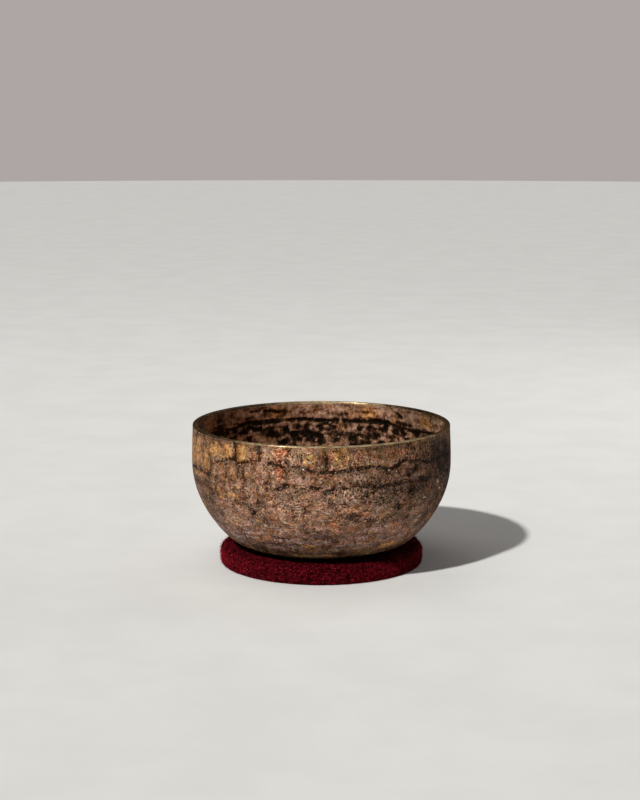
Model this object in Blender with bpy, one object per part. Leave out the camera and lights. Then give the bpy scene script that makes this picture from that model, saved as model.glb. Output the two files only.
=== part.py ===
"""Standing singing bowl, hammered from one piece of bronze, loose on a round felt pad.

Frame: metres, +Z up, origin at the centre of the pad's underside.
"""
import math

import bmesh
import bpy

# Felt pad
PAD_RADIUS = 0.0710
PAD_THICKNESS = 0.0125
PAD_TOP_ROUNDING = 0.0040
PAD_BOTTOM_ROUNDING = 0.0012

# Bowl: the outer wall is a chain of arcs that meet without a corner, from the flat base to the lip
REST_GAP = 0.0003           # between the felt and the bronze
RIM_HEIGHT = 0.0980         # top of the lip above the pad's underside
BASE_RADIUS = 0.0469        # flat part that stands on the felt
TURN_RADIUS = 0.0300        # tight turn from the base into the wall
BELLY_RADIUS = 0.0840       # long curve of the lower wall
SHOULDER_RADIUS = 0.0605    # from the belly to the widest point
UPPER_RADIUS = 0.3520       # slight inward lean below the lip
TURN_END_DEG = 45.0         # wall slope where the turn meets the belly
BELLY_END_DEG = 66.3        # wall slope where the belly meets the shoulder
UPRIGHT_DEG = 90.0          # wall slope at the widest point

# Bowl: wall thickness
WALL_THICKNESS = 0.0025
LIP_THICKNESS = 0.0040
LIP_DEPTH = 0.0260          # the wall thickens to the lip over this height
LIP_ROUNDING = 0.0008

SEGMENTS = 64
MERGE_DISTANCE = 0.00001

BRONZE_COLOR = (0.20, 0.13, 0.09, 1.0)
FELT_COLOR = (0.13, 0.004, 0.012, 1.0)


def clear_scene():
    for existing in list(bpy.data.objects):
        bpy.data.objects.remove(existing, do_unlink=True)


def make_material(name, color, roughness, metallic):
    material = bpy.data.materials.new(name)
    material.use_nodes = True
    shader = material.node_tree.nodes["Principled BSDF"]
    shader.inputs["Base Color"].default_value = color
    shader.inputs["Roughness"].default_value = roughness
    shader.inputs["Metallic"].default_value = metallic
    material.diffuse_color = color
    return material


def arc(center, radius, start_deg, end_deg, steps):
    """Points from start to end on a circle in the radius-height plane, the start left out."""
    points = []
    for step in range(1, steps + 1):
        angle = math.radians(start_deg + (end_deg - start_deg) * step / steps)
        points.append((center[0] + radius * math.cos(angle), center[1] + radius * math.sin(angle)))
    return points


def spin_outline(name, outline, location, material):
    """Turn an outline of (radius, height) points about Z into a closed body."""
    mesh = bpy.data.meshes.new(name)
    body = bmesh.new()
    verts = [body.verts.new((radius, 0.0, height)) for radius, height in outline]
    edges = [body.edges.new(pair) for pair in zip(verts, verts[1:])]
    bmesh.ops.spin(
        body,
        geom=verts + edges,
        cent=(0.0, 0.0, 0.0),
        axis=(0.0, 0.0, 1.0),
        angle=2.0 * math.pi,
        steps=SEGMENTS,
        use_merge=True,
    )
    bmesh.ops.remove_doubles(body, verts=body.verts, dist=MERGE_DISTANCE)
    bmesh.ops.recalc_face_normals(body, faces=body.faces)
    body.to_mesh(mesh)
    body.free()
    mesh.shade_smooth()
    mesh.set_sharp_from_angle(angle=math.radians(40.0))
    mesh.materials.append(material)
    piece = bpy.data.objects.new(name, mesh)
    piece.location = location
    bpy.context.scene.collection.objects.link(piece)
    return piece


def pad_outline():
    """Section of the felt disc, from the underside's centre round to the top's centre."""
    foot = (PAD_RADIUS - PAD_BOTTOM_ROUNDING, PAD_BOTTOM_ROUNDING)
    shoulder = (PAD_RADIUS - PAD_TOP_ROUNDING, PAD_THICKNESS - PAD_TOP_ROUNDING)
    outline = [(0.0, 0.0), (foot[0], 0.0)]
    outline += arc(foot, PAD_BOTTOM_ROUNDING, -90.0, 0.0, 2)
    outline.append((PAD_RADIUS, shoulder[1]))
    outline += arc(shoulder, PAD_TOP_ROUNDING, 0.0, 90.0, 5)
    outline.append((0.0, PAD_THICKNESS))
    return outline


def wall_stations():
    """The outer wall from the base's edge to the lip, as (radius, height, slope in degrees)."""
    height = RIM_HEIGHT - LIP_ROUNDING - PAD_THICKNESS - REST_GAP
    stations = [(BASE_RADIUS, 0.0, 0.0)]
    sections = (
        (TURN_RADIUS, TURN_END_DEG, 6),
        (BELLY_RADIUS, BELLY_END_DEG, 4),
        (SHOULDER_RADIUS, UPRIGHT_DEG, 4),
    )
    for radius, end_slope, steps in sections:
        start_r, start_z, start_slope = stations[-1]
        center = (
            start_r - radius * math.sin(math.radians(start_slope)),
            start_z + radius * math.cos(math.radians(start_slope)),
        )
        for step in range(1, steps + 1):
            slope = start_slope + (end_slope - start_slope) * step / steps
            station_r = center[0] + radius * math.sin(math.radians(slope))
            station_z = center[1] - radius * math.cos(math.radians(slope))
            stations.append((station_r, station_z, slope))
    widest_r, widest_z, upright = stations[-1]
    lean = math.degrees(math.asin((height - widest_z) / UPPER_RADIUS))
    upper_steps = 3
    for step in range(1, upper_steps + 1):
        turned = math.radians(lean * step / upper_steps)
        station_r = widest_r - UPPER_RADIUS * (1.0 - math.cos(turned))
        station_z = widest_z + UPPER_RADIUS * math.sin(turned)
        stations.append((station_r, station_z, upright + math.degrees(turned)))
    return stations


def wall_thickness(height, lip_height):
    """Even below, and growing smoothly to the lip's thickness over the last stretch."""
    share = min(1.0, max(0.0, 1.0 - (lip_height - height) / LIP_DEPTH))
    return WALL_THICKNESS + (LIP_THICKNESS - WALL_THICKNESS) * share * share * (3.0 - 2.0 * share)


def bowl_outline():
    """Section of the bowl: out along the base, up the outer wall, over the lip and down inside."""
    outer = wall_stations()
    lip_r, lip_z, _ = outer[-1]
    inner = []
    for radius, height, slope in outer:
        thickness = wall_thickness(height, lip_z)
        across = radius - thickness * math.sin(math.radians(slope))
        up = height + thickness * math.cos(math.radians(slope))
        inner.append((across, up))
    inner[-1] = (lip_r - LIP_THICKNESS, lip_z)
    outline = [(0.0, 0.0)]
    outline += [(radius, height) for radius, height, _ in outer]
    outline += arc((lip_r - LIP_ROUNDING, lip_z), LIP_ROUNDING, 0.0, 90.0, 3)
    inner_round = (lip_r - LIP_THICKNESS + LIP_ROUNDING, lip_z)
    outline.append((inner_round[0], lip_z + LIP_ROUNDING))
    outline += arc(inner_round, LIP_ROUNDING, 90.0, 180.0, 3)
    outline += reversed(inner[:-1])
    outline.append((0.0, WALL_THICKNESS))
    return outline


def make_felt_pad():
    felt = make_material("red_felt", FELT_COLOR, 0.95, 0.0)
    spin_outline("felt_pad", pad_outline(), (0.0, 0.0, 0.0), felt)


def make_bowl():
    bronze = make_material("hammered_bronze", BRONZE_COLOR, 0.45, 0.8)
    spin_outline("bowl", bowl_outline(), (0.0, 0.0, PAD_THICKNESS + REST_GAP), bronze)


clear_scene()
make_felt_pad()
make_bowl()
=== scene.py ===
"""Looks of a hammered bronze singing bowl with an old patina, standing loose on a red felt pad.

Everything is in metres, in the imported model's frame: +Z up, origin under the pad's centre.
"""
import math
import random

import bmesh
import bpy
import numpy as np
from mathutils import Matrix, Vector, noise


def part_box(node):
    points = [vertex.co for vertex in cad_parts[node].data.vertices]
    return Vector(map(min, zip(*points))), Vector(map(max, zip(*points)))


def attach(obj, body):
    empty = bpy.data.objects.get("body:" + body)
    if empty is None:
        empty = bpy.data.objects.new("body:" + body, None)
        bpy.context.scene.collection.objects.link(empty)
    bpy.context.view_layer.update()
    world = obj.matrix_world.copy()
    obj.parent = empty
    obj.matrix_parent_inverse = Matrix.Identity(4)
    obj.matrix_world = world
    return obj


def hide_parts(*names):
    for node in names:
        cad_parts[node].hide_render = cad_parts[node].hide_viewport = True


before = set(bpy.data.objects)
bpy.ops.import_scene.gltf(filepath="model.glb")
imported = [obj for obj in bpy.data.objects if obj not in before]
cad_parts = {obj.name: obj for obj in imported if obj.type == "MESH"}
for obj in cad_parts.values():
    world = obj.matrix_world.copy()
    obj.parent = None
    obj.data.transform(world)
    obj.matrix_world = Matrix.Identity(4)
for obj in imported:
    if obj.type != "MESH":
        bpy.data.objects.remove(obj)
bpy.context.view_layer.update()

MM = 0.001

# ------------ dimensions
PAD_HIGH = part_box("felt_pad")[1]
BOWL_LOW, BOWL_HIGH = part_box("bowl")
PAD_RADIUS = PAD_HIGH[0]
PAD_TOP = PAD_HIGH[2]
PAD_FOOT = 1.2 * MM             # rounding of the pad's bottom edge
PAD_SHOULDER = 4.2 * MM         # rounding of the pad's top edge
PAD_UNDERSIDE = 0.985           # share of the radius that the underside's rings cover
BASE_HEIGHT = BOWL_LOW[2]
RIM_HEIGHT = BOWL_HIGH[2]

# The bowl's outer wall: arcs that meet without a corner, each with the wall's slope at its end
BASE_RADIUS = 0.0469
TURN_RADIUS, TURN_END = 0.0300, 45.0
BELLY_RADIUS, BELLY_END = 0.0840, 66.3
SHOULDER_RADIUS, UPRIGHT = 0.0605, 90.0
UPPER_RADIUS = 0.3520
WALL_THICKNESS = 0.0025
LIP_THICKNESS = 0.0040
LIP_DEPTH = 0.0260              # the wall thickens to the lip over this height
LIP_ROUNDING = 0.0008

# Fineness of the meshes: segments round the axis, and rings on each stretch of the section
BOWL_SEGMENTS = 440
OUTER_RINGS = (16, 26, 21, 22)  # on the wall's four arcs
INNER_RINGS = (16, 22, 18, 20)
BASE_RINGS = 12
FLOOR_RINGS = 26
ROUNDING_RINGS = 4
LIP_RINGS = 3
PAD_SEGMENTS = 420
PAD_UNDERSIDE_RINGS, PAD_FOOT_RINGS, PAD_SIDE_RINGS, PAD_SHOULDER_RINGS, PAD_TOP_RINGS = 12, 4, 9, 8, 60

OUTSIDE, LIP, INSIDE = 0, 1, 2  # sides of the section

FIBRE_COUNT = 5200
FIBRE_JOINTS = 5
FIBRES_ON_SIDE = 0.62           # a draw below this puts one on the side,
FIBRES_ON_EDGE = 0.80           # and below this on the rounded edge
FIBRE_ROOT = 0.5 * MM           # depth of the roots in the felt
FIBRE_LIMIT = PAD_RADIUS + 1.4 * MM
UNDER_BOWL = 60.0 * MM          # nearer to the axis, the bowl is close above the pad

# The layout of the patina is drawn on a cylinder of this radius, a little less than the bowl's
LAYOUT_RADIUS = 90.0 * MM

CAMERA_PLACE = (-0.0010, -1.2146, 0.3196)
CAMERA_DROP = 9.62              # degrees that it looks down
CAMERA_LENS, SENSOR_WIDTH = 79.6, 36.0          # mm
FLOOR_RADIUS = 6.0


# ------------ profile of the bowl
def arc_stations(start, end_slope, radius, count):
    """Points along an arc of the outer wall after `start`: (radius, height, slope in degrees)."""
    start_r, start_z, start_slope = start
    low = math.radians(start_slope)
    center_r = start_r - radius * math.sin(low)
    center_z = start_z + radius * math.cos(low)
    stations = []
    for step in range(1, count + 1):
        slope = start_slope + (end_slope - start_slope) * step / count
        turned = math.radians(slope)
        stations.append((center_r + radius * math.sin(turned), center_z - radius * math.cos(turned), slope))
    return stations


def outer_stations(counts):
    """The outer wall from the edge of the base to the foot of the lip's rounding."""
    turn, belly, shoulder, upper = counts
    stations = [(BASE_RADIUS, BASE_HEIGHT, 0.0)]
    stations += arc_stations(stations[-1], TURN_END, TURN_RADIUS, turn)
    stations += arc_stations(stations[-1], BELLY_END, BELLY_RADIUS, belly)
    stations += arc_stations(stations[-1], UPRIGHT, SHOULDER_RADIUS, shoulder)
    rise = RIM_HEIGHT - LIP_ROUNDING - stations[-1][1]
    lean = math.degrees(math.asin(rise / UPPER_RADIUS))
    stations += arc_stations(stations[-1], UPRIGHT + lean, UPPER_RADIUS, upper)
    return stations


def thickness_at(height):
    """Thickness of the wall, which grows smoothly to the lip's."""
    share = min(1.0, max(0.0, 1.0 - (RIM_HEIGHT - LIP_ROUNDING - height) / LIP_DEPTH))
    return WALL_THICKNESS + (LIP_THICKNESS - WALL_THICKNESS) * share * share * (3.0 - 2.0 * share)


def bowl_profile():
    """Stations round the whole section: (radius, height, normal r, normal z, side)."""
    outer = outer_stations(OUTER_RINGS)
    inner = outer_stations(INNER_RINGS)
    lip_r = outer[-1][0]
    lip_z = outer[-1][1]
    section = []
    for step in range(BASE_RINGS):
        section.append((BASE_RADIUS * step / BASE_RINGS, BASE_HEIGHT, 0.0, -1.0, OUTSIDE))
    for radius, height, slope in outer:
        turned = math.radians(slope)
        section.append((radius, height, math.sin(turned), -math.cos(turned), OUTSIDE))
    for step in range(1, ROUNDING_RINGS + 1):
        turned = math.radians(90.0 * step / ROUNDING_RINGS)
        section.append((
            lip_r - LIP_ROUNDING * (1.0 - math.cos(turned)),
            lip_z + LIP_ROUNDING * math.sin(turned),
            math.cos(turned), math.sin(turned), LIP))
    flat = LIP_THICKNESS - 2.0 * LIP_ROUNDING
    for step in range(1, LIP_RINGS + 1):
        section.append((lip_r - LIP_ROUNDING - flat * step / LIP_RINGS, RIM_HEIGHT, 0.0, 1.0, LIP))
    for step in range(1, ROUNDING_RINGS + 1):
        turned = math.radians(90.0 * step / ROUNDING_RINGS)
        section.append((
            lip_r - LIP_THICKNESS + LIP_ROUNDING * (1.0 - math.sin(turned)),
            lip_z + LIP_ROUNDING * math.cos(turned),
            -math.sin(turned), math.cos(turned), LIP))
    for radius, height, slope in reversed(inner[:-1]):
        turned = math.radians(slope)
        wall = thickness_at(height)
        section.append((
            radius - wall * math.sin(turned), height + wall * math.cos(turned),
            -math.sin(turned), math.cos(turned), INSIDE))
    for step in range(FLOOR_RINGS - 1, -1, -1):
        section.append((
            BASE_RADIUS * step / FLOOR_RINGS, BASE_HEIGHT + WALL_THICKNESS, 0.0, 1.0, INSIDE))
    return np.array(section)


def along(section):
    """Distance of each station from the lip, measured along the wall, on its own side."""
    step = np.hypot(np.diff(section[:, 0]), np.diff(section[:, 1]))
    run = np.concatenate([[0.0], np.cumsum(step)])
    lip = np.where(section[:, 4] == LIP)[0]
    return np.where(section[:, 4] == INSIDE, run - run[lip[-1]], np.maximum(0.0, run[lip[0]] - run))


# ------------ helpers for fields over a surface
def smooth(values, low, high):
    """0 at `low` to 1 at `high`, with a soft start and end."""
    share = np.clip((values - low) / (high - low), 0.0, 1.0)
    return share * share * (3.0 - 2.0 * share)


def noise_field(points, size, seed):
    """Smooth noise of about -1 to 1, with features of the given size in metres."""
    offset = Vector((seed * 7.31, seed * 3.17, seed * 5.77))
    return np.array([noise.noise(Vector(p) / size + offset) for p in points])


def cell_field(points, size, seed):
    """Distance to the nearest of scattered points about `size` apart, as a share of that size."""
    offset = Vector((seed * 2.9, seed * 4.3, seed * 1.7))
    return np.array([noise.voronoi(Vector(p) / size + offset)[0][0] for p in points])


def line_distance(around, height, line):
    """Distance in metres to a line of (azimuth in degrees, height in mm) points on the wall."""
    nearest = np.full(len(height), 1.0)
    turn = 2.0 * math.pi * LAYOUT_RADIUS
    for (a0, h0), (a1, h1) in zip(line, line[1:]):
        x0, x1 = math.radians(a0) * LAYOUT_RADIUS, math.radians(a1) * LAYOUT_RADIUS
        y0, y1 = h0 * MM, h1 * MM
        across = (around - x0 + turn / 2) % turn - turn / 2
        up = height - y0
        dx, dy = (x1 - x0 + turn / 2) % turn - turn / 2, y1 - y0
        share = np.clip((across * dx + up * dy) / (dx * dx + dy * dy), 0.0, 1.0)
        nearest = np.minimum(nearest, np.hypot(across - share * dx, up - share * dy))
    return nearest


def vein_field(around, height, veins):
    """Distance in metres to the edge of the nearest vein, less than 0 inside one."""
    field = np.full(len(height), 1.0)
    for half_width, line in veins:
        field = np.minimum(field, line_distance(around, height, line) - half_width * MM)
    return field


def patch_field(around, height, patches):
    """Strength of the soft oval patch over each point, which falls to 0 a little outside its size."""
    field = np.zeros(len(height))
    turn = 2.0 * math.pi * LAYOUT_RADIUS
    for azimuth, middle, half_width, half_height, *strength in patches:
        across = (around - math.radians(azimuth) * LAYOUT_RADIUS + turn / 2) % turn - turn / 2
        reach = np.hypot(across / (half_width * MM), (height - middle * MM) / (half_height * MM))
        field = np.maximum(field, (strength or [1.0])[0] * (1.0 - smooth(reach, 0.2, 1.3)))
    return field


# ------------ layout of the patina
# Azimuths are in degrees, with 270 at the front, and heights and sizes in mm. A vein is its half
# width and the points it runs through.
VEINS = [
    (0.60, [(182, 70), (190, 71), (200, 72), (207, 72), (214, 71)]),
    (0.90, [(219, 82), (222, 83)]),
    (0.55, [(222, 83), (225, 84), (230, 86), (232, 84), (237, 85), (242, 87)]),
    (0.80, [(230, 86), (232, 84)]),
    (0.80, [(248, 86), (251, 84), (254, 84)]),
    (0.65, [(255, 87), (257, 85), (261, 84), (266, 82), (270, 81)]),
    (1.25, [(270, 81), (276, 81), (282, 82)]),
    (1.15, [(282, 82), (287, 83), (292, 84)]),
    (1.05, [(294, 83), (297, 82), (299, 81)]),
    (1.15, [(299, 81), (302, 82), (305, 84), (308, 86)]),
    (0.65, [(308, 86), (312, 85), (317, 84), (320, 82), (323, 81)]),
    (1.05, [(323, 81), (327, 81)]),
    (0.60, [(327, 81), (335, 83), (346, 80), (358, 82), (8, 78), (20, 80)]),
    (1.15, [(251, 69), (253, 70), (256, 72)]),
    (0.45, [(258, 72), (260, 70), (266, 71)]),
    (0.90, [(266, 71), (270, 71)]),
    (1.05, [(271, 68), (275, 69)]),
    (0.40, [(275, 70), (286, 71)]),
    (0.80, [(286, 70), (288, 71), (294, 70)]),
    (0.80, [(294, 70), (299, 71), (302, 70)]),
    (1.05, [(302, 70), (307, 71)]),
    (0.80, [(307, 71), (312, 70)]),
    (1.40, [(317, 72), (318, 71)]),
    (1.00, [(320, 69), (321, 68)]),
    (1.20, [(309, 77), (310, 76)]),
    (1.10, [(314, 81), (313, 78)]),
    (1.10, [(305, 55), (306, 53)]),
    (1.00, [(239, 52), (238, 50)]),
    (0.90, [(242, 60), (242, 58)]),
    (0.50, [(319, 71), (331, 69), (340, 71), (352, 66)]),
    (0.40, [(247, 75), (246, 70), (247, 67)]),
    (0.35, [(235, 78), (235, 75)]),
    (0.25, [(234, 61), (236, 60), (238, 62)]),
    (1.00, [(230, 98), (231, 92), (231, 86)]),
    (1.40, [(242, 98), (243, 92), (243, 88)]),
    (0.90, [(256, 95), (255, 89), (256, 86)]),
    (0.45, [(271, 97), (272, 92), (272, 82)]),
    (0.40, [(309, 96), (309, 90), (308, 86)]),
    (0.40, [(317, 95), (317, 85)]),
    (0.80, [(24, 84), (33, 81), (41, 83), (52, 79), (60, 80), (71, 84)]),
    (0.45, [(71, 84), (83, 82), (92, 85), (104, 81)]),
    (0.80, [(104, 81), (118, 83), (129, 79), (141, 82), (150, 80)]),
    (0.50, [(150, 80), (163, 84), (171, 81)]),
    (0.60, [(10, 70), (22, 67), (37, 70), (49, 68), (58, 71)]),
    (0.55, [(78, 68), (90, 70), (101, 67), (115, 71)]),
    (0.75, [(115, 71), (128, 69), (139, 72), (152, 68), (166, 70)]),
    (0.30, [(62, 58), (74, 55), (86, 57), (97, 54)]),
    (0.30, [(134, 60), (146, 57), (157, 59)]),
    (0.90, [(46, 96), (47, 89), (45, 82)]),
    (0.60, [(95, 96), (94, 90), (96, 85)]),
    (0.90, [(147, 97), (148, 88), (150, 81)]),
    (0.15, [(242, 34), (250, 33), (262, 33)]),
    (0.15, [(30, 26), (50, 27), (72, 25)]),
    (0.15, [(110, 27), (130, 26), (155, 27)]),
]
# Hair-thin lines that run down from the main one
VEINS += [
    (0.05, [(azimuth, 86), (azimuth + 1, 77), (azimuth - 1, 67), (azimuth, foot)])
    for azimuth, foot in [
        (208, 62), (214, 58), (219, 55), (225, 56), (231, 58), (236, 56), (247, 63), (26, 60),
        (33, 58), (40, 61), (98, 60), (107, 57), (160, 62), (167, 58), (174, 61)]
]
# Lines on the inner wall
INNER_VEINS = [
    (0.60, [(162, 80), (154, 82), (146, 83), (138, 82), (128, 85)]),
    (1.30, [(128, 85), (120, 84), (111, 84)]),
    (0.90, [(106, 84), (100, 85), (94, 84), (88, 83), (82, 84)]),
    (1.10, [(78, 83), (71, 84), (64, 84), (56, 84)]),
    (0.50, [(56, 84), (49, 82), (40, 81), (30, 82), (14, 84)]),
    (1.20, [(145, 80), (141, 79)]),
    (1.10, [(128, 81), (123, 79)]),
    (0.60, [(127, 93), (122, 93)]),
    (0.70, [(119, 93), (115, 92), (111, 91)]),
    (0.50, [(50, 93), (47, 90)]),
    (0.20, [(92, 79), (87, 81), (84, 78), (87, 76), (91, 78)]),
    (0.20, [(75, 72), (71, 73), (67, 72), (66, 69)]),
    (1.60, [(98, 76), (96, 74)]),
    (1.20, [(107, 78), (107, 76)]),
    (1.30, [(104, 73), (103, 72)]),
    (1.50, [(92, 72), (90, 70)]),
    (1.50, [(57, 81), (57, 79)]),
    (1.50, [(48, 80), (47, 77)]),
    (1.40, [(39, 81), (38, 79)]),
    (0.40, [(198, 85), (211, 84), (224, 86), (236, 85)]),
    (0.60, [(246, 84), (259, 86), (272, 85), (284, 86)]),
    (0.45, [(284, 86), (300, 84), (315, 85), (331, 84), (350, 86)]),
]
# Soft patches by kind: (azimuth, height, half width, half height), and a strength where it isn't 1
PATCHES = {
    "ochre": [  # yellow-brown, almost gold in the upper band
        (196, 84, 17, 11), (211, 86, 8, 6), (211, 78, 6, 5), (218, 90, 8, 5), (227, 92, 6, 6),
        (224, 86, 9, 2), (234, 90, 4.6, 6), (233, 75, 5, 2), (219, 63, 2, 4), (221, 58, 4, 1.6),
        (227, 61, 6, 2), (195, 69, 12, 2.4), (265, 88, 5, 4), (278, 91, 7, 7),
        (262, 27, 12, 2.4, 0.45), (310, 24, 10, 2.4, 0.8), (340, 54, 7, 4), (338, 38, 8, 3),
        (346, 88, 6, 8), (30, 90, 10, 6), (66, 90, 9, 7), (112, 91, 12, 6), (156, 89, 9, 8),
        (171, 60, 6, 5), (88, 62, 5, 4), (60, 21, 20, 2), (140, 20, 22, 2),
    ],
    "orange": [  # copper red
        (252, 91, 7.5, 7.5), (288, 89, 12, 5, 0.6), (303, 93, 16, 5, 0.65), (252, 80, 4, 4.5),
        (241, 90, 2.4, 4), (248, 47, 2, 2.2), (232, 43, 2, 1.2), (206, 69, 4, 2), (274, 92, 2.4, 5),
        (312, 87, 4, 2), (284, 40, 8, 3.5, 0.6), (295, 32, 5, 2), (276, 44, 5, 2), (262, 28, 5, 2),
        (290, 51, 5, 3), (281, 55, 3, 2), (305, 41, 7, 2.5), (20, 88, 5, 4), (80, 89, 5, 5),
        (123, 86, 4, 4), (140, 46, 7, 3), (60, 44, 6, 3), (170, 88, 4, 4),
    ],
    "dark": [  # blackened spots
        (310, 76, 2.4, 2.8), (314, 79, 2, 4), (318, 71, 2.6, 2.6), (320, 69, 2.4, 2.2),
        (305, 54, 2.8, 3), (291, 68, 5, 3, 0.6), (287, 66, 3, 2, 0.6), (273, 68, 4, 3, 0.6),
        (280, 60, 4, 1.8), (213, 56, 8, 2), (212, 66, 7, 2), (239, 51, 3.2, 3.6), (242, 59, 2, 2),
        (283, 50, 4, 3), (292, 47, 6, 1.4), (301, 47, 4, 1.6), (296, 61, 5, 4), (304, 66, 6, 6),
        (312, 62, 5, 5), (207, 89, 4, 4), (332, 74, 8, 8), (343, 60, 8, 8), (326, 90, 9, 9),
        (338, 84, 9, 10), (12, 74, 6, 5), (70, 74, 7, 4), (120, 76, 6, 4), (158, 74, 6, 5),
        (95, 47, 8, 3),
    ],
    "gritty": [  # coarser grain and more pits
        (294, 67, 45, 15), (262, 90, 14, 9), (281, 88, 18, 8), (258, 62, 16, 10, 0.3),
        (214, 90, 10, 8), (20, 72, 40, 12), (95, 70, 50, 14), (150, 88, 30, 8), (162, 64, 30, 12),
    ],
    "streak": [  # upright strokes
        (326, 91, 34, 9), (350, 85, 20, 14), (50, 92, 40, 8), (120, 91, 30, 8),
    ],
    "umber_and_painted_shade": [  # deep brown, matt; the large patches on the right, away from the key light, are painted shade
        (344, 80, 70, 30, 0.9), (308, 56, 24, 20, 0.5), (338, 58, 54, 26, 0.74),
        (352, 30, 40, 12, 0.7), (316, 67, 24, 11, 0.85), (308, 46, 12, 5, 0.6),
        (299, 72, 24, 18, 0.5), (298, 96, 30, 8, 0.55), (193, 84, 18, 20, 0.35),
        (240, 42, 24, 4, 0.25), (246, 27, 50, 3, 0.4), (258, 29, 14, 3, 0.5), (188, 96, 16, 8, 0.6),
        (202, 64, 32, 7, 0.6), (204, 50, 24, 16, 0.6), (213, 97, 30, 3, 0.55),
        (238, 22, 34, 3.6, 0.6), (222, 58, 6, 4, 0.4), (220, 70, 12, 4, 0.35), (286, 40, 12, 4, 0.35),
        (272, 28, 9, 3, 0.4), (271, 89, 5, 9, 0.5), (298, 58, 10, 4, 0.5), (311, 64, 7, 4, 0.95),
        (312, 46, 6, 3, 0.8), (256, 28, 9, 3, 0.8), (24, 96, 26, 6, 1.0), (84, 98, 30, 3, 0.6),
        (190, 66, 9, 9, 0.8), (196, 95, 18, 4, 0.5), (289, 53, 7, 3, 0.4), (298, 31, 13, 2, 0.3),
        (284, 50, 12, 3, 0.5), (74, 60, 26, 12, 0.7), (130, 40, 30, 9, 0.7), (38, 88, 20, 12, 0.6),
        (172, 90, 20, 14, 0.6), (134, 80, 24, 5, 0.5), (152, 92, 34, 12, 0.5), (150, 97, 34, 4, 0.6),
        (28, 95, 24, 8, 0.5), (38, 98, 54, 4, 0.8), (93, 96, 8, 2, 0.6),
    ],
    "pale": [  # lighter brown
        (268, 57, 22, 10), (249, 64, 11, 12), (252, 46, 12, 4), (246, 80, 7, 4), (243, 58, 9, 8),
        (232, 34, 8, 3), (268, 40, 9, 3), (282, 66, 7, 5), (232, 62, 6, 5), (292, 25, 18, 2),
        (216, 87, 6, 5), (330, 64, 5, 3), (92, 92, 20, 5), (66, 91, 18, 5), (24, 60, 12, 6),
        (112, 58, 14, 6), (150, 62, 10, 6),
    ],
    "tan": [  # yellower brown
        (204, 84, 52, 18), (300, 97, 66, 11), (70, 90, 60, 12), (150, 88, 50, 14),
    ],
    "cream": [  # groups of whitish flecks
        (254, 46, 4, 1.2), (221, 47, 2.4, 2.6), (260, 56, 3, 3), (244, 42, 3, 2), (225, 41, 2.4, 1.6),
        (258, 37, 6, 1.4), (317, 43, 4, 1.5), (321, 40, 4, 1.4), (323, 43, 5, 1.2), (315, 50, 2.4, 2),
        (321, 57, 2.6, 1.6), (318, 54, 2.4, 1.4), (330, 65, 4, 2), (335, 60, 5, 2), (322, 51, 3, 1.2),
        (291, 38, 1.6, 1.4), (297, 38, 1.8, 1.4), (302, 40, 4, 2.4), (272, 53, 4, 2), (265, 87, 3, 2),
        (313, 30, 6, 1.4), (40, 52, 5, 2), (120, 50, 5, 2), (80, 44, 6, 1.6),
    ],
    "painted_lip_highlight": [  # painted highlight: the lip made lighter at the front and the back, where it catches the light
        (276, 98, 90, 40), (88, 98, 60, 40),
    ],
}


# ------------ building meshes
def add(name, data):
    """A new object of that name in the scene."""
    thing = bpy.data.objects.new(name, data)
    bpy.context.scene.collection.objects.link(thing)
    return thing


def lathe_mesh(name, section, segments, shape):
    """Turn stations of (radius, height, normal r, normal z) about Z.

    `shape` gives how far each point moves along its normal, and the attributes of the points.
    """
    angles = np.arange(segments) * 2.0 * math.pi / segments
    rings = len(section)
    radius = np.repeat(section[:, 0], segments)
    height = np.repeat(section[:, 1], segments)
    azimuth = np.tile(angles, rings)
    ring = np.repeat(np.arange(rings), segments)
    cos, sin = np.cos(azimuth), np.sin(azimuth)
    points = np.column_stack([radius * cos, radius * sin, height])
    normal = np.column_stack([section[ring, 2] * cos, section[ring, 2] * sin, section[ring, 3]])
    move, attributes = shape(points, radius, height, azimuth, ring)
    points = points + normal * move[:, None]
    first, last = points[:segments].mean(axis=0), points[-segments:].mean(axis=0)
    middle = points[segments:-segments]
    verts = np.vstack([first, middle, last])
    faces = []
    inner_rings = rings - 2
    for j in range(segments):
        k = (j + 1) % segments
        faces.append((0, 1 + k, 1 + j))
        for i in range(inner_rings - 1):
            low, high = 1 + i * segments, 1 + (i + 1) * segments
            faces.append((low + j, low + k, high + k, high + j))
        top = 1 + (inner_rings - 1) * segments
        faces.append((top + j, top + k, len(verts) - 1))
    mesh = bpy.data.meshes.new(name)
    mesh.from_pydata(verts.tolist(), [], faces)
    mesh.validate()
    for key, values in attributes.items():
        layer = mesh.attributes.new(key, "FLOAT", "POINT")
        kept = np.concatenate([
            [values[:segments].mean()], values[segments:-segments], [values[-segments:].mean()]])
        layer.data.foreach_set("value", kept.astype(np.float32))
    mesh.shade_smooth()
    return add(name, mesh)


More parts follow.
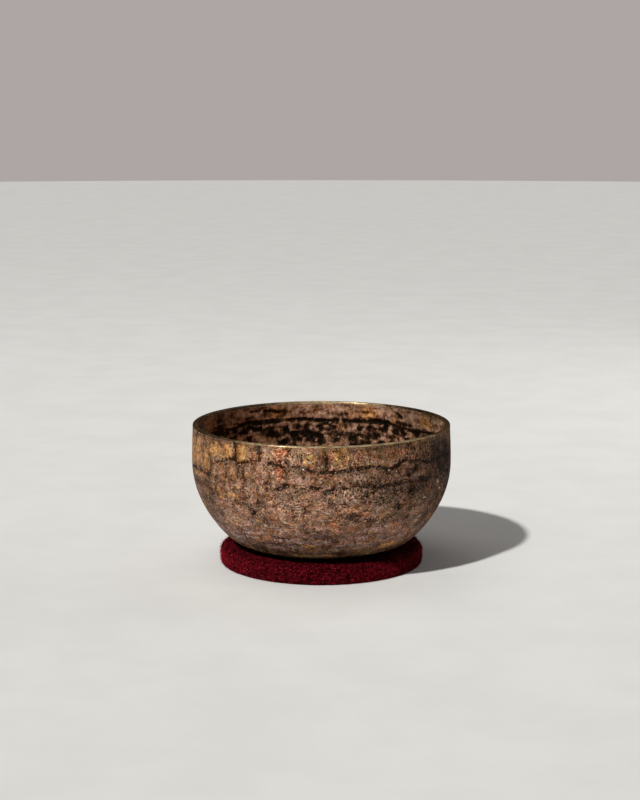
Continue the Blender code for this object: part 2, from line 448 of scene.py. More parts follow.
def dent_rows():
    """Hammer marks inside the bowl, in rows round the wall.

    Each is (distance from the lip, azimuth, half width, half height, depth), in mm and degrees.
    """
    draw = random.Random(4)
    dents = []
    rows = [
        # (distance from the lip, half width, half height, depth) of the rows the mouth shows
        (2.6, 4.5, 1.3, 0.30), (7.0, 6.0, 2.1, 0.52), (12.8, 9.5, 1.2, 0.90), (18.6, 3.8, 2.5, 1.05),
        (24.0, 6.6, 2.2, 1.05), (29.6, 4.2, 2.6, 1.0), (35.2, 6.5, 2.4, 0.9)]
    distance = 40.5
    while distance < 130.0:
        rows.append((distance, draw.uniform(3.6, 7.0), draw.uniform(2.0, 2.6), draw.uniform(0.25, 0.50)))
        distance += draw.uniform(5.2, 6.6)
    for distance, half_width, half_height, strength in rows:
        # The wall is upright down to 35 mm from the lip, and then draws in
        radius = 86.0 if distance < 35.0 else max(4.0, 86.0 - (distance - 35.0) * 0.84)
        count = max(3, int(2.0 * math.pi * radius / (half_width * 2.25 + 1.0)))
        start = draw.random() * 360.0
        for index in range(count):
            azimuth = start + (index + draw.uniform(-0.22, 0.22)) * 360.0 / count
            if draw.random() < 0.08:
                continue
            dents.append((
                distance + draw.uniform(-1.2, 1.2), azimuth, half_width * draw.uniform(0.55, 1.35),
                half_height * draw.uniform(0.65, 1.2), strength * draw.uniform(0.60, 1.0)))
    return dents


def dent_field(points, distance, azimuth):
    """How near the middle of a hammer mark each inner point lies (1 to -1), and how deep that mark is."""
    field = np.full(len(points), -1.0)
    depth = np.zeros(len(points))
    around = np.hypot(points[:, 0], points[:, 1])
    for middle, angle, half_width, half_height, strength in dent_rows():
        near = np.where(np.abs(distance - middle * MM) < half_height * 2.2 * MM)[0]
        turned = (azimuth[near] - math.radians(angle) + math.pi) % (2.0 * math.pi) - math.pi
        across = turned * around[near]
        reach = np.hypot(across / (half_width * MM), (distance[near] - middle * MM) / (half_height * MM))
        value = np.clip(1.0 - reach, -1.0, 1.0)
        deeper = value > field[near]
        field[near[deeper]] = value[deeper]
        depth[near[deeper]] = strength
    return field, depth


def make_bowl():
    """The bowl with its hammered relief, and the layout of the patina as attributes of its points."""
    section = bowl_profile()
    distance = along(section)

    def shape(points, radius, height, azimuth, ring):
        side = section[ring, 4]
        outside, inside, lip = side == OUTSIDE, side == INSIDE, side == LIP
        away = distance[ring]

        # Layout of the patina, with outlines that wander a little
        wander_a = noise_field(points, 9 * MM, 1)
        wander_b = noise_field(points, 9 * MM, 2)
        around = azimuth * LAYOUT_RADIUS + wander_a * 0.9 * MM
        level = height + wander_b * 0.9 * MM
        vein = np.where(inside, vein_field(around, level, INNER_VEINS), vein_field(around, level, VEINS))
        attributes = {"vein": np.minimum(vein / (10 * MM), 1.0)}
        for kind, patches in PATCHES.items():
            attributes[kind] = patch_field(around, level, patches)

        # Hammer marks inside, in rows that sway more further down
        sway_a = noise_field(points, 17 * MM, 7)
        sway_b = noise_field(points, 17 * MM, 8)
        sway = 1.2 + 2.2 * smooth(away, 14 * MM, 26 * MM)
        swayed = away + (wander_a * 1.1 + sway_a * sway) * MM
        turned = azimuth + wander_b * 0.02 + sway_b * 0.05
        dent = np.full(len(points), -1.0)
        depth = np.zeros(len(points))
        dent[inside], depth[inside] = dent_field(points[inside], swayed[inside], turned[inside])
        dent = np.maximum(dent, np.where(inside, 0.45 - vein / (1.8 * MM), -1.0))
        depth = np.maximum(depth, 1.0 - smooth(vein, 0.3 * MM, 0.9 * MM)) * inside

        # Relief in mm on each side, which runs out into the lip's own and only ever goes inwards
        broad = noise_field(points, 42 * MM, 3)
        facet = cell_field(points, 11 * MM, 4)
        grain = noise_field(points, 3.6 * MM, 5)
        fine = noise_field(points, 1.9 * MM, 6)
        calm = smooth(height, 24 * MM, 42 * MM)
        groove = 1.0 - smooth(vein, -0.6 * MM, 0.9 * MM)
        relief_out = (
            -0.34 + 0.22 * broad - 0.13 * (1.0 - facet) ** 2
            + (0.3 + 0.7 * calm) * (0.06 * grain + 0.045 * fine) - 0.16 * groove * calm)
        relief_in = (
            -0.28 + 0.18 * broad + 0.05 * grain + 0.03 * fine - 0.36 * depth * smooth(dent, -0.3, 0.8))
        relief_lip = -0.08 + 0.05 * broad + 0.015 * grain
        fade = smooth(away, 0.0, 3.0 * MM)
        move = np.where(outside, relief_out * fade + relief_lip * (1.0 - fade), 0.0)
        move = np.where(inside, relief_in * fade + relief_lip * (1.0 - fade), move)
        move = np.where(lip, relief_lip, move)
        move = np.minimum(move, 0.0) * MM
        move = np.where((radius < BASE_RADIUS) & outside, move * 0.3, move)

        attributes["dent"] = dent
        attributes["depth"] = depth
        attributes["inside"] = inside.astype(float)
        attributes["lip"] = np.where(lip, 1.0, 1.0 - smooth(away, 0.0, 0.4 * MM))
        return move, attributes

    return lathe_mesh("bowl_hammered", section, BOWL_SEGMENTS, shape)


# ------------ node helpers
class Shading:
    """Short calls for building a procedural material."""

    def __init__(self, name):
        self.material = bpy.data.materials.new(name)
        self.material.use_nodes = True
        self.tree = self.material.node_tree
        self.shader = self.tree.nodes["Principled BSDF"]
        self.place = self.tree.nodes.new("ShaderNodeTexCoord").outputs["Object"]
        self.drawn = 0

    def link(self, source, target):
        if hasattr(source, "is_output"):
            self.tree.links.new(source, target)
        else:
            target.default_value = source

    def put(self, name, value):
        """Set an input of the shader."""
        self.link(value, self.shader.inputs[name])

    def moved(self, stretch):
        """The position, stretched, and shifted so that no two textures fall together."""
        self.drawn += 1
        node = self.tree.nodes.new("ShaderNodeVectorMath")
        node.operation = "MULTIPLY_ADD"
        self.link(self.place, node.inputs[0])
        node.inputs[1].default_value = stretch
        node.inputs[2].default_value = (0.37 * self.drawn, 0.23 * self.drawn, 0.11 * self.drawn)
        return node.outputs[0]

    def grain(self, size, octaves=3, roughness=0.6, stretch=(1.0, 1.0, 1.0), twist=0.0):
        """Noise with features `size` metres wide: 0.5 on average, and mostly between 0.1 and 0.9."""
        node = self.tree.nodes.new("ShaderNodeTexNoise")
        self.link(self.moved(stretch), node.inputs["Vector"])
        node.inputs["Scale"].default_value = 1.0 / size
        node.inputs["Detail"].default_value = octaves - 1.0
        node.inputs["Roughness"].default_value = roughness
        node.inputs["Distortion"].default_value = twist
        weights = [roughness ** octave for octave in range(octaves)]
        gain = 1.45 * sum(weights) / math.sqrt(sum(weight * weight for weight in weights))
        return self.math("MULTIPLY_ADD", node.outputs["Fac"], gain, 0.5 - 0.5 * gain)

    def grazing(self):
        """0 where the surface faces the viewer, 1 at its outline."""
        weight = self.tree.nodes.new("ShaderNodeLayerWeight")
        weight.inputs["Blend"].default_value = 0.5
        return weight.outputs["Facing"]

    def cells(self, size, stretch=(1.0, 1.0, 1.0)):
        """Distance to the nearest of scattered points, as a share of `size`."""
        node = self.tree.nodes.new("ShaderNodeTexVoronoi")
        self.link(self.moved(stretch), node.inputs["Vector"])
        node.inputs["Scale"].default_value = 1.0 / size
        return node.outputs["Distance"]

    def attribute(self, name):
        node = self.tree.nodes.new("ShaderNodeAttribute")
        node.attribute_name = name
        return node.outputs["Fac"]

    def math(self, operation, *values):
        node = self.tree.nodes.new("ShaderNodeMath")
        node.operation = operation
        for value, socket in zip(values, node.inputs):
            self.link(value, socket)
        return node.outputs[0]

    def times(self, a, b):
        return self.math("MULTIPLY", a, b)

    def total(self, *weighted):
        """Sum of (value, weight) pairs; a plain number is added as it is."""
        result = 0.0
        for term in weighted:
            if isinstance(term, tuple):
                result = self.math("MULTIPLY_ADD", term[0], term[1], result)
            else:
                result = self.math("ADD", result, term)
        return result

    def span(self, value, low, high, out_low=0.0, out_high=1.0):
        """Value carried smoothly from low..high to out_low..out_high."""
        node = self.tree.nodes.new("ShaderNodeMapRange")
        node.interpolation_type = "SMOOTHSTEP"
        self.link(value, node.inputs["Value"])
        node.inputs["From Min"].default_value = low
        node.inputs["From Max"].default_value = high
        node.inputs["To Min"].default_value = out_low
        node.inputs["To Max"].default_value = out_high
        return node.outputs["Result"]

    def ramp(self, value, stops):
        node = self.tree.nodes.new("ShaderNodeValToRGB")
        elements = node.color_ramp.elements
        while len(elements) < len(stops):
            elements.new(0.5)
        for element, (position, color) in zip(elements, stops):
            element.position = position
            element.color = (*color, 1.0)
        self.link(value, node.inputs["Fac"])
        return node.outputs["Color"]

    def mix(self, share, a, b, blend="MIX"):
        node = self.tree.nodes.new("ShaderNodeMix")
        node.data_type = "RGBA"
        node.blend_type = blend
        self.link(share, node.inputs["Factor"])
        for value, socket in ((a, node.inputs[6]), (b, node.inputs[7])):
            self.link(value if hasattr(value, "is_output") else (*value, 1.0), socket)
        return node.outputs[2]

    def tint(self, share, color, factor):
        """The colour, multiplied by another one to the given share."""
        return self.mix(share, color, self.mix(1.0, color, factor, "MULTIPLY"))

    def bump(self, height, distance, strength=1.0):
        node = self.tree.nodes.new("ShaderNodeBump")
        node.inputs["Strength"].default_value = strength
        node.inputs["Distance"].default_value = distance
        self.link(height, node.inputs["Height"])
        return node.outputs["Normal"]

    def height(self):
        node = self.tree.nodes.new("ShaderNodeSeparateXYZ")
        self.link(self.place, node.inputs[0])
        return node.outputs["Z"]


# ------------ materials
FLAT_WIDE = (0.45, 0.45, 1.3)   # stretch of a texture into level strokes
TALL = (1.6, 1.6, 0.45)         # and into upright ones


def ground_colour(s, z):
    """Pinkish brown with stains of six sizes, yellower in the upper band."""
    color = s.ramp(s.grain(8 * MM, 5, 0.6, (1.0, 1.0, 1.4)), [
        (0.12, (0.090, 0.041, 0.024)), (0.36, (0.190, 0.094, 0.058)),
        (0.56, (0.290, 0.150, 0.099)), (0.82, (0.400, 0.224, 0.156))])
    tanned = s.math("MAXIMUM", s.attribute("tan"), s.span(z, 76 * MM, 96 * MM, 0.0, 0.6))
    color = s.tint(tanned, color, (0.98, 0.95, 0.64))
    stains = [
        # (size in mm, where it starts, where it is full, share, colour)
        (3.2, 0.60, 0.85, 0.60, (0.450, 0.235, 0.175)),
        (4.2, 0.62, 0.86, 0.60, (0.340, 0.140, 0.066)),
        (3.0, 0.66, 0.90, 0.60, (0.430, 0.275, 0.180)),
        (7.0, 0.60, 0.84, 0.65, (0.270, 0.140, 0.058)),
        (9.0, 0.60, 0.84, 0.65, (0.120, 0.075, 0.048)),
        (11.0, 0.62, 0.86, 0.60, (0.185, 0.112, 0.084)),
    ]
    for size, low, high, share, tint in stains:
        color = s.mix(s.span(s.grain(size * MM, 4), low, high, 0.0, share), color, tint)
    return color


def lower_wall_colour(s, z, color):
    """Mauve strokes and level bands low on the wall, and a dark underside with a painted highlight along
    the turn above the base.
    """
    strokes = s.ramp(s.grain(4.5 * MM, 5, 0.7, FLAT_WIDE), [
        (0.10, (0.050, 0.027, 0.021)), (0.38, (0.150, 0.088, 0.074)),
        (0.62, (0.270, 0.169, 0.153)), (0.90, (0.470, 0.340, 0.320))])
    color = s.mix(s.span(z, 28 * MM, 52 * MM, 0.72, 0.0), color, strokes)
    bands = s.grain(7 * MM, 3, 0.6, (0.12, 0.12, 1.0))
    color = s.tint(s.span(z, 40 * MM, 70 * MM, 1.0, 0.35), color, s.ramp(bands, [
        (0.15, (0.60, 0.57, 0.54)), (0.50, (1.00, 0.98, 0.98)), (0.85, (1.38, 1.42, 1.46))]))
    warm = s.span(s.grain(7 * MM, 4, 0.65, FLAT_WIDE), 0.55, 0.80)
    warm = s.times(warm, s.span(z, 30 * MM, 50 * MM, 0.75, 0.0))
    color = s.mix(warm, color, (0.300, 0.135, 0.060))
    underside = s.ramp(s.grain(6 * MM, 4, 0.65, FLAT_WIDE), [
        (0.25, (0.045, 0.023, 0.012)), (0.60, (0.120, 0.060, 0.030)), (0.85, (0.280, 0.165, 0.075))])
    color = s.mix(s.span(z, 18 * MM, 28 * MM, 0.95, 0.0), color, underside)
    # Painted highlight: a thin light band where the turn above the base catches the light
    painted_turn_highlight = s.times(s.span(z, 16.6 * MM, 18.0 * MM), s.span(z, 18.6 * MM, 20.4 * MM, 1.0, 0.0))
    ragged = s.span(s.grain(8 * MM, 4, 0.65, FLAT_WIDE), 0.55, 0.80, 0.0, 0.8)
    return s.mix(s.times(painted_turn_highlight, ragged), color, (0.480, 0.300, 0.140))


def patch_colour(s, color):
    """Ochre, orange, grey-green, pale and deep brown patches over the ground; the deep brown is also
    painted shade on the right, away from the key light.

    Gives the colour and how much ochre and deep brown (with the painted shade) there is.
    """
    ragged = s.grain(4.0 * MM, 4, 0.7)
    ochre = s.span(s.total((s.attribute("ochre"), 1.0), (ragged, 1.0), -0.50), 0.12, 0.60)
    color = s.mix(s.times(ochre, 0.92), color, s.ramp(s.grain(3 * MM, 3), [
        (0.20, (0.260, 0.122, 0.038)), (0.55, (0.540, 0.268, 0.088)), (0.85, (0.720, 0.405, 0.165))]))
    orange = s.span(s.total((s.attribute("orange"), 1.0), (ragged, -1.1), 0.55), 0.25, 0.75)
    color = s.mix(s.times(orange, 0.9), color, s.ramp(s.grain(2.6 * MM, 3), [
        (0.20, (0.300, 0.100, 0.055)), (0.55, (0.500, 0.190, 0.100)), (0.85, (0.680, 0.300, 0.160))]))
    verdigris = s.span(s.grain(6 * MM, 3, 0.5), 0.92, 1.05, 0.0, 0.35)
    color = s.mix(verdigris, color, (0.155, 0.155, 0.120))
    color = s.mix(1.0, color, s.ramp(s.grain(5.5 * MM, 3, 0.6, (1.0, 1.0, 1.3)), [
        (0.20, (0.88, 0.95, 1.00)), (0.50, (1.00, 0.99, 0.97)), (0.80, (1.14, 0.99, 0.90))]), "MULTIPLY")
    pale = s.span(s.total((s.attribute("pale"), 1.0), (ragged, 0.5), -0.25), 0.1, 0.8)
    color = s.tint(pale, color, (1.32, 1.36, 1.40))
    # Deep brown patina; on the right, away from the key light, it is painted shade
    umber_and_painted_shade = s.times(s.attribute("umber_and_painted_shade"), s.total((s.grain(7 * MM, 4, 0.65), 0.5), 0.80))
    umber_and_painted_shade = s.math("MINIMUM", umber_and_painted_shade, 1.0)
    color = s.tint(umber_and_painted_shade, color, (0.105, 0.074, 0.056))
    return color, ochre, umber_and_painted_shade


def grit_level(s, z, ochre):
    """How light or dark each grain is (0.5 on average), darkest in the veins and the pitted patches."""
    upright = s.total((s.grain(2.6 * MM, 3, 0.65, TALL), 1.0), -0.5)
    upright = s.times(upright, s.attribute("streak"))
    vein = s.total(
        (s.attribute("vein"), 10.0), (s.grain(1.8 * MM, 3, 0.7), 1.2), (s.grain(6 * MM, 2), -1.0), 0.0)
    dark_line = s.span(vein, -0.45, 0.70, 1.0, 0.0)
    beside = s.span(vein, 0.2, 3.2, 1.0, 0.0)
    blotch = s.span(s.grain(10 * MM, 4, 0.65), 0.55, 0.90)
    blotch = s.total((s.attribute("dark"), 0.30), (blotch, 0.20))
    rough = s.total(
        (s.grain(12 * MM, 3), 0.5), (s.attribute("dark"), 0.35), (s.attribute("gritty"), 0.40),
        (ochre, -0.34), 0.40)
    grit = s.total(
        (s.grain(1.9 * MM, 3, 0.7), 0.50), (s.grain(1.05 * MM, 2, 0.7), 0.76),
        (s.grain(4.5 * MM, 3), 0.18), -0.72)
    low_grit = s.grain(1.1 * MM, 2, 0.7, (0.7, 0.7, 1.2))
    low_grit = s.times(low_grit, s.span(z, 30 * MM, 55 * MM, 0.20, 0.0))
    return s.total(
        (s.times(grit, rough), 1.0), (low_grit, 1.0),
        (s.span(z, 30 * MM, 55 * MM, -0.10, 0.0), 1.0), (upright, 0.75), (blotch, -0.9),
        (dark_line, -0.44), (beside, -0.09), 0.545)


def pits_and_flecks(s, z, color, umber_and_painted_shade):
    """Black pits with pale rims, single light flecks, and the groups of whitish ones."""
    reach = s.total((s.cells(2.3 * MM), 1.0), (s.grain(1.0 * MM, 2), 0.20), -0.10)
    pitted = s.total((s.grain(11 * MM, 3), 1.0), (s.attribute("dark"), 0.50), (s.attribute("gritty"), 0.34))
    pitted = s.times(s.span(pitted, 0.56, 0.84), s.span(z, 26 * MM, 50 * MM))
    rims = s.times(s.span(reach, 0.30, 0.38), s.span(reach, 0.42, 0.54, 1.0, 0.0))
    rims = s.times(rims, s.total((umber_and_painted_shade, -0.38), 0.40))
    color = s.mix(s.times(rims, pitted), color, (0.500, 0.350, 0.250))
    pits = s.times(s.span(reach, 0.20, 0.32, 1.0, 0.0), pitted)
    color = s.mix(pits, color, (0.010, 0.0075, 0.006))
    flecks = s.span(s.cells(3.0 * MM, (0.8, 0.8, 1.3)), 0.10, 0.20, 0.9, 0.0)
    flecks = s.times(flecks, s.span(s.grain(9 * MM, 3, 0.6, FLAT_WIDE), 0.58, 0.76))
    color = s.mix(flecks, color, (0.700, 0.560, 0.430))
    cream = s.total((s.attribute("cream"), 1.0), (s.grain(1.3 * MM, 3, 0.7, FLAT_WIDE), 2.0), -1.35)
    cream = s.span(cream, 0.35, 0.80)
    return s.mix(s.times(cream, 0.80), color, (0.620, 0.470, 0.350))


def outside_patina(s):
    """Colour of the outer wall, and the level of its grit."""
    z = s.height()
    color = lower_wall_colour(s, z, ground_colour(s, z))
    color, ochre, umber_and_painted_shade = patch_colour(s, color)
    level = grit_level(s, z, ochre)
    tone = s.ramp(level, [
        (0.10, (0.060, 0.046, 0.036)), (0.30, (0.290, 0.240, 0.195)), (0.44, (0.74, 0.68, 0.63)),
        (0.56, (1.08, 1.10, 1.11)), (0.70, (1.50, 1.78, 1.94)), (0.86, (2.10, 2.75, 3.15))])
    color = s.mix(1.0, color, tone, "MULTIPLY")
    return pits_and_flecks(s, z, color, umber_and_painted_shade), level


def inside_patina(s):
    """Colour of the inner wall: near-black hammer marks in a network of pinkish tan."""
    mark = s.total((s.attribute("dent"), 1.0), (s.grain(3.6 * MM, 4, 0.65), 0.65), -0.325)
    mark = s.times(s.span(mark, -0.45, 0.50), s.attribute("depth"))
    level = s.total(
        (s.grain(2.6 * MM, 4, 0.7), 0.46), (s.grain(8 * MM, 3), 0.40), (s.grain(1.1 * MM, 2), 0.16),
        (s.grain(3 * MM, 3, 0.6, TALL), 0.16), (mark, -0.60),
        (s.span(s.height(), 60 * MM, 90 * MM), 0.09), (s.span(s.height(), 85 * MM, 91 * MM), 0.06),
        (s.span(s.height(), 20 * MM, 72 * MM), -0.06), (s.span(s.cells(6 * MM), 0.12, 0.42), 0.14),
        -0.09)
    color = s.ramp(level, [
        (0.00, (0.0036, 0.0026, 0.0018)), (0.20, (0.017, 0.0098, 0.0060)), (0.38, (0.095, 0.048, 0.026)),
        (0.52, (0.250, 0.132, 0.078)), (0.68, (0.460, 0.262, 0.172)), (0.90, (0.720, 0.470, 0.340))])
    rust = s.math("MAXIMUM", s.span(s.grain(6 * MM, 4), 0.55, 0.84, 0.0, 0.7), s.attribute("ochre"))
    color = s.tint(rust, color, (1.10, 0.90, 0.48))
    color = s.tint(s.attribute("pale"), color, (1.45, 1.42, 1.40))
    # The same deep brown patches, with their painted shade, darken the inner wall
    return s.tint(s.attribute("umber_and_painted_shade"), color, (0.22, 0.25, 0.21))


def bronze_material():
    """Aged bronze: the patina of both walls, and bare brass on the lip."""
    s = Shading("aged_bronze")
    color, level = outside_patina(s)
    color = s.mix(s.attribute("inside"), color, inside_patina(s))

    # Lip: ground flat and worn by hands, so it shows brass, lighter at the front and the back in a painted
    # highlight
    worn = s.total((s.attribute("lip"), 1.0), (s.grain(2.0 * MM, 3, 0.7), 0.35), -0.17)
    bare = s.span(worn, 0.50, 0.80)
    brass = s.ramp(s.total((s.grain(5 * MM, 4), 0.6), (s.attribute("painted_lip_highlight"), 0.55), -0.12), [
        (0.05, (0.060, 0.040, 0.024)), (0.30, (0.150, 0.104, 0.056)), (0.60, (0.420, 0.305, 0.160)),
        (0.90, (0.640, 0.480, 0.270))])
    color = s.mix(bare, color, brass)
    s.put("Base Color", color)

    # Shine: matt in the deep brown and painted shade and towards the outline, metallic on the lightest
    # grains
    quiet = s.span(s.grazing(), 0.45, 0.85, 1.0, 0.1)
    polish = s.total((s.attribute("umber_and_painted_shade"), -0.25), 0.25)
    s.put("Specular IOR Level", s.times(polish, quiet))
    s.put("Specular Tint", (1.0, 0.66, 0.44, 1.0))
    glint = s.span(level, 0.62, 0.86, 0.50, 0.95)
    glint = s.times(glint, s.total((s.attribute("umber_and_painted_shade"), -0.80), 1.0))
    glint = s.times(glint, quiet)
    # The painted highlight also makes the lip less metallic there
    lip_shine = s.times(bare, s.total((s.attribute("painted_lip_highlight"), -0.42), 0.90))
    s.put("Metallic", s.math("MAXIMUM", lip_shine, glint))
    s.put("Roughness", s.total((s.grain(2.0 * MM, 3), 0.22), (bare, -0.20), 0.38))

    patina = s.math("SUBTRACT", 1.0, bare)
    grit = s.times(s.total((level, 1.0), (s.grain(2.6 * MM, 3), 0.5)), patina)
    s.put("Normal", s.bump(grit, 0.55 * MM, 0.8))
    return s.material


def felt_material():
    """Deep red wool with black gaps between the clumps, and a few specks of lint."""
    s = Shading("red_wool_felt")
    clump = s.grain(1.9 * MM, 3, 0.7, twist=0.6)
    strands = s.total(
        (s.grain(0.95 * MM, 2, 0.7, (0.4, 1.0, 1.3), 1.2), 0.6),
        (s.grain(0.95 * MM, 2, 0.7, (1.0, 0.4, 0.8), 1.2), 0.6))
    level = s.total((clump, 0.70), (strands, 0.95), -0.42)
    color = s.ramp(level, [
        (0.33, (0.0014, 0.0001, 0.0002)), (0.49, (0.010, 0.0004, 0.0008)), (0.63, (0.040, 0.0012, 0.0025)),
        (0.77, (0.150, 0.0050, 0.0105)), (0.93, (0.500, 0.0250, 0.0450))])
    lint = s.span(s.cells(4.2 * MM), 0.035, 0.065, 0.7, 0.0)
    color = s.mix(lint, color, (0.45, 0.30, 0.30))
    s.put("Base Color", color)
    s.put("Roughness", 1.0)
    s.put("Specular IOR Level", 0.02)
    s.put("Sheen Weight", 0.08)
    s.put("Sheen Roughness", 0.5)
    s.put("Sheen Tint", (0.75, 0.03, 0.07, 1.0))
    s.put("Normal", s.bump(level, 1.6 * MM, 1.0))
    return s.material


# ------------ felt pad
def pad_section():
    """Section of the felt disc from the underside's centre to the top's centre, with its normals."""
    section = [
        (PAD_RADIUS * PAD_UNDERSIDE * step / PAD_UNDERSIDE_RINGS, 0.0, 0.0, -1.0)
        for step in range(PAD_UNDERSIDE_RINGS)]
    for step in range(PAD_FOOT_RINGS + 1):
        turned = math.radians(-90.0 + 90.0 * step / PAD_FOOT_RINGS)
        section.append((
            PAD_RADIUS - PAD_FOOT + PAD_FOOT * math.cos(turned), PAD_FOOT + PAD_FOOT * math.sin(turned),
            math.cos(turned), math.sin(turned)))
    side_top = PAD_TOP - PAD_SHOULDER
    for step in range(1, PAD_SIDE_RINGS + 1):
        section.append((
            PAD_RADIUS, PAD_FOOT + (side_top - PAD_FOOT) * step / PAD_SIDE_RINGS, 1.0, 0.0))
    for step in range(1, PAD_SHOULDER_RINGS + 1):
        turned = math.radians(90.0 * step / PAD_SHOULDER_RINGS)
        section.append((
            PAD_RADIUS - PAD_SHOULDER + PAD_SHOULDER * math.cos(turned),
            side_top + PAD_SHOULDER * math.sin(turned), math.cos(turned), math.sin(turned)))
    for step in range(PAD_TOP_RINGS - 1, -1, -1):
        section.append(((PAD_RADIUS - PAD_SHOULDER) * step / PAD_TOP_RINGS, PAD_TOP, 0.0, 1.0))
    return np.array(section)


def make_pad():
    """The felt disc, uneven all over and pressed in a little where the bowl stands."""
    section = pad_section()

    def shape(points, radius, height, azimuth, ring):
        rough = 0.30 * noise_field(points, 4.5 * MM, 11) + 0.22 * noise_field(points, 2.0 * MM, 12)
        broad = 0.35 * noise_field(points, 28 * MM, 13)
        pressed = 0.55 * (1.0 - smooth(radius, 44 * MM, 52 * MM))
        up = section[ring, 3]
        move = (-0.45 + rough + broad - np.where(up > 0.5, pressed, 0.0)) * MM
        move = np.where(up < -0.5, np.minimum(move * 0.25, 0.0), np.minimum(move, 0.0))
        return move, {}

    return lathe_mesh("felt_disc", section, PAD_SEGMENTS, shape)


def fibre_root(draw):
    """Where a fibre grows from, and the pad's normal there and direction round the pad."""
    azimuth = draw.uniform(0.0, 2.0 * math.pi)
    cos, sin = math.cos(azimuth), math.sin(azimuth)
    zone = draw.uniform()
    if zone < FIBRES_ON_SIDE:
        radial = PAD_RADIUS - FIBRE_ROOT
        up = draw.uniform(0.8 * MM, PAD_TOP - 3.0 * MM)
        normal = Vector((cos, sin, 0.0))
    elif zone < FIBRES_ON_EDGE:
        turned = draw.uniform(0.0, math.pi / 2)
        radial = PAD_RADIUS - PAD_SHOULDER + (PAD_SHOULDER - FIBRE_ROOT) * math.cos(turned)
        up = PAD_TOP - PAD_SHOULDER + (PAD_SHOULDER - FIBRE_ROOT) * math.sin(turned)
        normal = Vector((cos * math.cos(turned), sin * math.cos(turned), math.sin(turned)))
    else:
        radial = (PAD_RADIUS - PAD_SHOULDER) * math.sqrt(draw.uniform(0.42, 1.0))
        up = PAD_TOP - FIBRE_ROOT
        normal = Vector((0.0, 0.0, 1.0))
    return Vector((radial * cos, radial * sin, up)), normal, Vector((-sin, cos, 0.0))


def kept_in(spot):
    """Holds a fibre's point near the pad: low under the bowl, and inside the whole part's box."""
    radial = math.hypot(spot.x, spot.y)
    if radial > FIBRE_LIMIT:
        spot.x *= FIBRE_LIMIT / radial
        spot.y *= FIBRE_LIMIT / radial
    highest = PAD_TOP - 0.1 * MM if radial < UNDER_BOWL else PAD_TOP + 0.9 * MM
    spot.z = min(max(spot.z, 0.2 * MM), highest)
    return spot


def make_fibres():
    """Loose wool fibres on the side and the top of the pad, each a thin bent strand of three sides."""
    draw = np.random.default_rng(8)
    verts, faces = [], []
    for _ in range(FIBRE_COUNT):
        root, normal, round_pad = fibre_root(draw)
        other = normal.cross(round_pad)
        heading = draw.uniform(0.0, 2.0 * math.pi)
        forward = round_pad * math.cos(heading) + other * math.sin(heading)
        sideways = normal.cross(forward)
        length = draw.uniform(1.8, 5.0) * MM
        rise = draw.uniform(0.25, 1.0) ** 2 * 1.5 * MM
        bend = draw.uniform(-1.2, 1.2) * MM
        thick = draw.uniform(0.035, 0.075) * MM
        start = len(verts)
        for joint in range(FIBRE_JOINTS):
            share = joint / (FIBRE_JOINTS - 1)
            lift = rise * math.sin(share * 2.4)
            spot = kept_in(
                root + forward * length * share + normal * lift + sideways * bend * share * share)
            width = thick * (1.0 - 0.6 * share)
            for corner in range(3):
                turn = corner * 2.0 * math.pi / 3
                verts.append(spot + (normal * math.cos(turn) + sideways * math.sin(turn)) * width)
        for joint in range(FIBRE_JOINTS - 1):
            base = start + joint * 3
            for corner in range(3):
                after = (corner + 1) % 3
                faces.append((base + corner, base + 3 + corner, base + 3 + after, base + after))
        faces.append((start, start + 1, start + 2))
        tip = start + (FIBRE_JOINTS - 1) * 3
        faces.append((tip + 2, tip + 1, tip))
    mesh = bpy.data.meshes.new("felt_fibres")
    mesh.from_pydata([tuple(v) for v in verts], [], faces)
    mesh.shade_smooth()
    return add("felt_fibres", mesh)


def fibre_material():
    """Single wool fibres, in one plain red."""
    s = Shading("wool_fibre")
    s.put("Base Color", (0.30, 0.0080, 0.0200, 1.0))
    s.put("Roughness", s.total((s.grain(2.2 * MM, 2), 0.2), 0.75))
    s.put("Specular IOR Level", 0.10)
    s.put("Normal", s.bump(s.grain(0.4 * MM, 2), 0.05 * MM))
    return s.material


# ------------ stage
def make_floor():
    """A wide pale floor with faint clouds."""
    mesh = bpy.data.meshes.new("floor")
    shape = bmesh.new()
    bmesh.ops.create_circle(shape, cap_ends=True, segments=96, radius=FLOOR_RADIUS)
    shape.to_mesh(mesh)
    shape.free()
    floor = add("floor", mesh)
    s = Shading("pale_floor")
    color = s.ramp(s.grain(60 * MM), [(0.2, (0.74, 0.735, 0.710)), (0.8, (0.77, 0.765, 0.740))])
    s.put("Base Color", color)
    s.put("Roughness", 0.7)
    s.put("Specular IOR Level", 0.25)
    mesh.materials.append(s.material)


def add_light(kind, name, energy, place, target, color=(1.0, 1.0, 1.0)):
    """A light at `place` that shines towards `target`."""
    light = bpy.data.lights.new(name, kind)
    light.energy = energy
    light.color = color
    lamp = add(name, light)
    lamp.location = place
    lamp.rotation_euler = (Vector(place) - Vector(target)).to_track_quat("Z", "Y").to_euler()
    return light


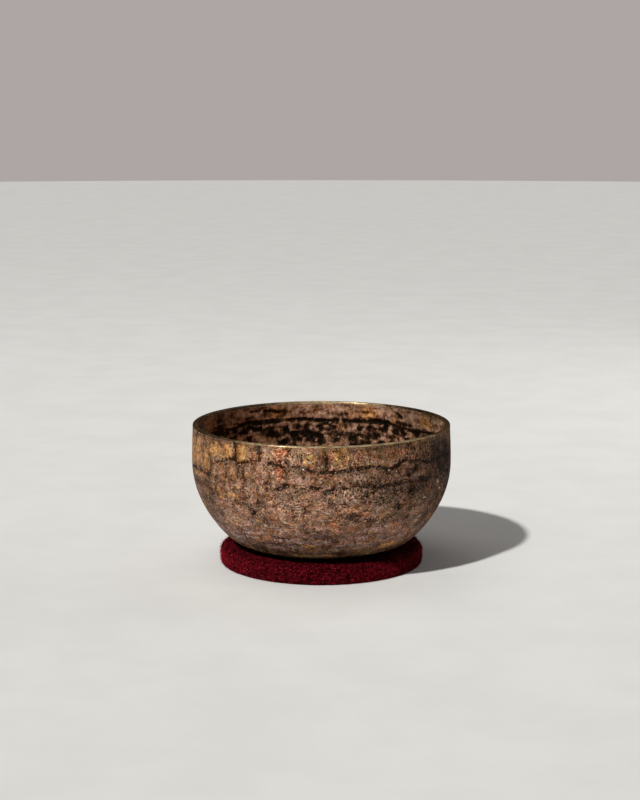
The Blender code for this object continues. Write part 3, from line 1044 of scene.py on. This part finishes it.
def make_lights():
    """Hard light from the left in front, soft light from above and a little from behind at the right."""
    key = add_light("SUN", "key", 3.35, (-0.92, -1.13, 1.38), (0.0, 0.0, 0.0), (1.0, 0.995, 0.98))
    key.angle = math.radians(2.6)
    top = add_light("AREA", "top_fill", 4.5, (-0.45, 0.35, 1.7), (0.0, 0.0, 0.05), (1.0, 0.98, 0.96))
    top.size = 1.2
    back = add_light("AREA", "back_fill", 1.6, (0.80, 0.62, 0.62), (0.08, 0.04, 0.0))
    back.size = 0.8

    # The camera sees a plain grey-brown backdrop, and everything else a dim fill
    world = bpy.data.worlds.new("studio")
    world.use_nodes = True
    nodes = world.node_tree.nodes
    links = world.node_tree.links
    seen, fill = nodes["Background"], nodes.new("ShaderNodeBackground")
    seen.inputs["Color"].default_value = (0.42, 0.38, 0.37, 1.0)
    fill.inputs["Color"].default_value = (0.80, 0.77, 0.76, 1.0)
    fill.inputs["Strength"].default_value = 0.11
    choose = nodes.new("ShaderNodeMixShader")
    links.new(nodes.new("ShaderNodeLightPath").outputs["Is Camera Ray"], choose.inputs[0])
    links.new(fill.outputs[0], choose.inputs[1])
    links.new(seen.outputs[0], choose.inputs[2])
    links.new(choose.outputs[0], nodes["World Output"].inputs[0])
    bpy.context.scene.world = world


def make_camera():
    """A long lens in front of the bowl and above its rim, looking a little down."""
    data = bpy.data.cameras.new("camera")
    data.lens = CAMERA_LENS
    data.sensor_width = SENSOR_WIDTH
    camera = add("camera", data)
    camera.location = CAMERA_PLACE
    camera.rotation_euler = (math.radians(90.0 - CAMERA_DROP), 0.0, 0.0)
    bpy.context.scene.camera = camera


# ------------ assembly
make_camera()
make_lights()
make_floor()

bowl = make_bowl()
bowl.data.materials.append(bronze_material())
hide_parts("bowl")
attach(bowl, "bowl")

pad = make_pad()
pad.data.materials.append(felt_material())
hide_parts("felt_pad")
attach(pad, "pad")

fibres = make_fibres()
fibres.data.materials.append(fibre_material())
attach(fibres, "pad")

bpy.context.scene.view_settings.view_transform = "Standard"
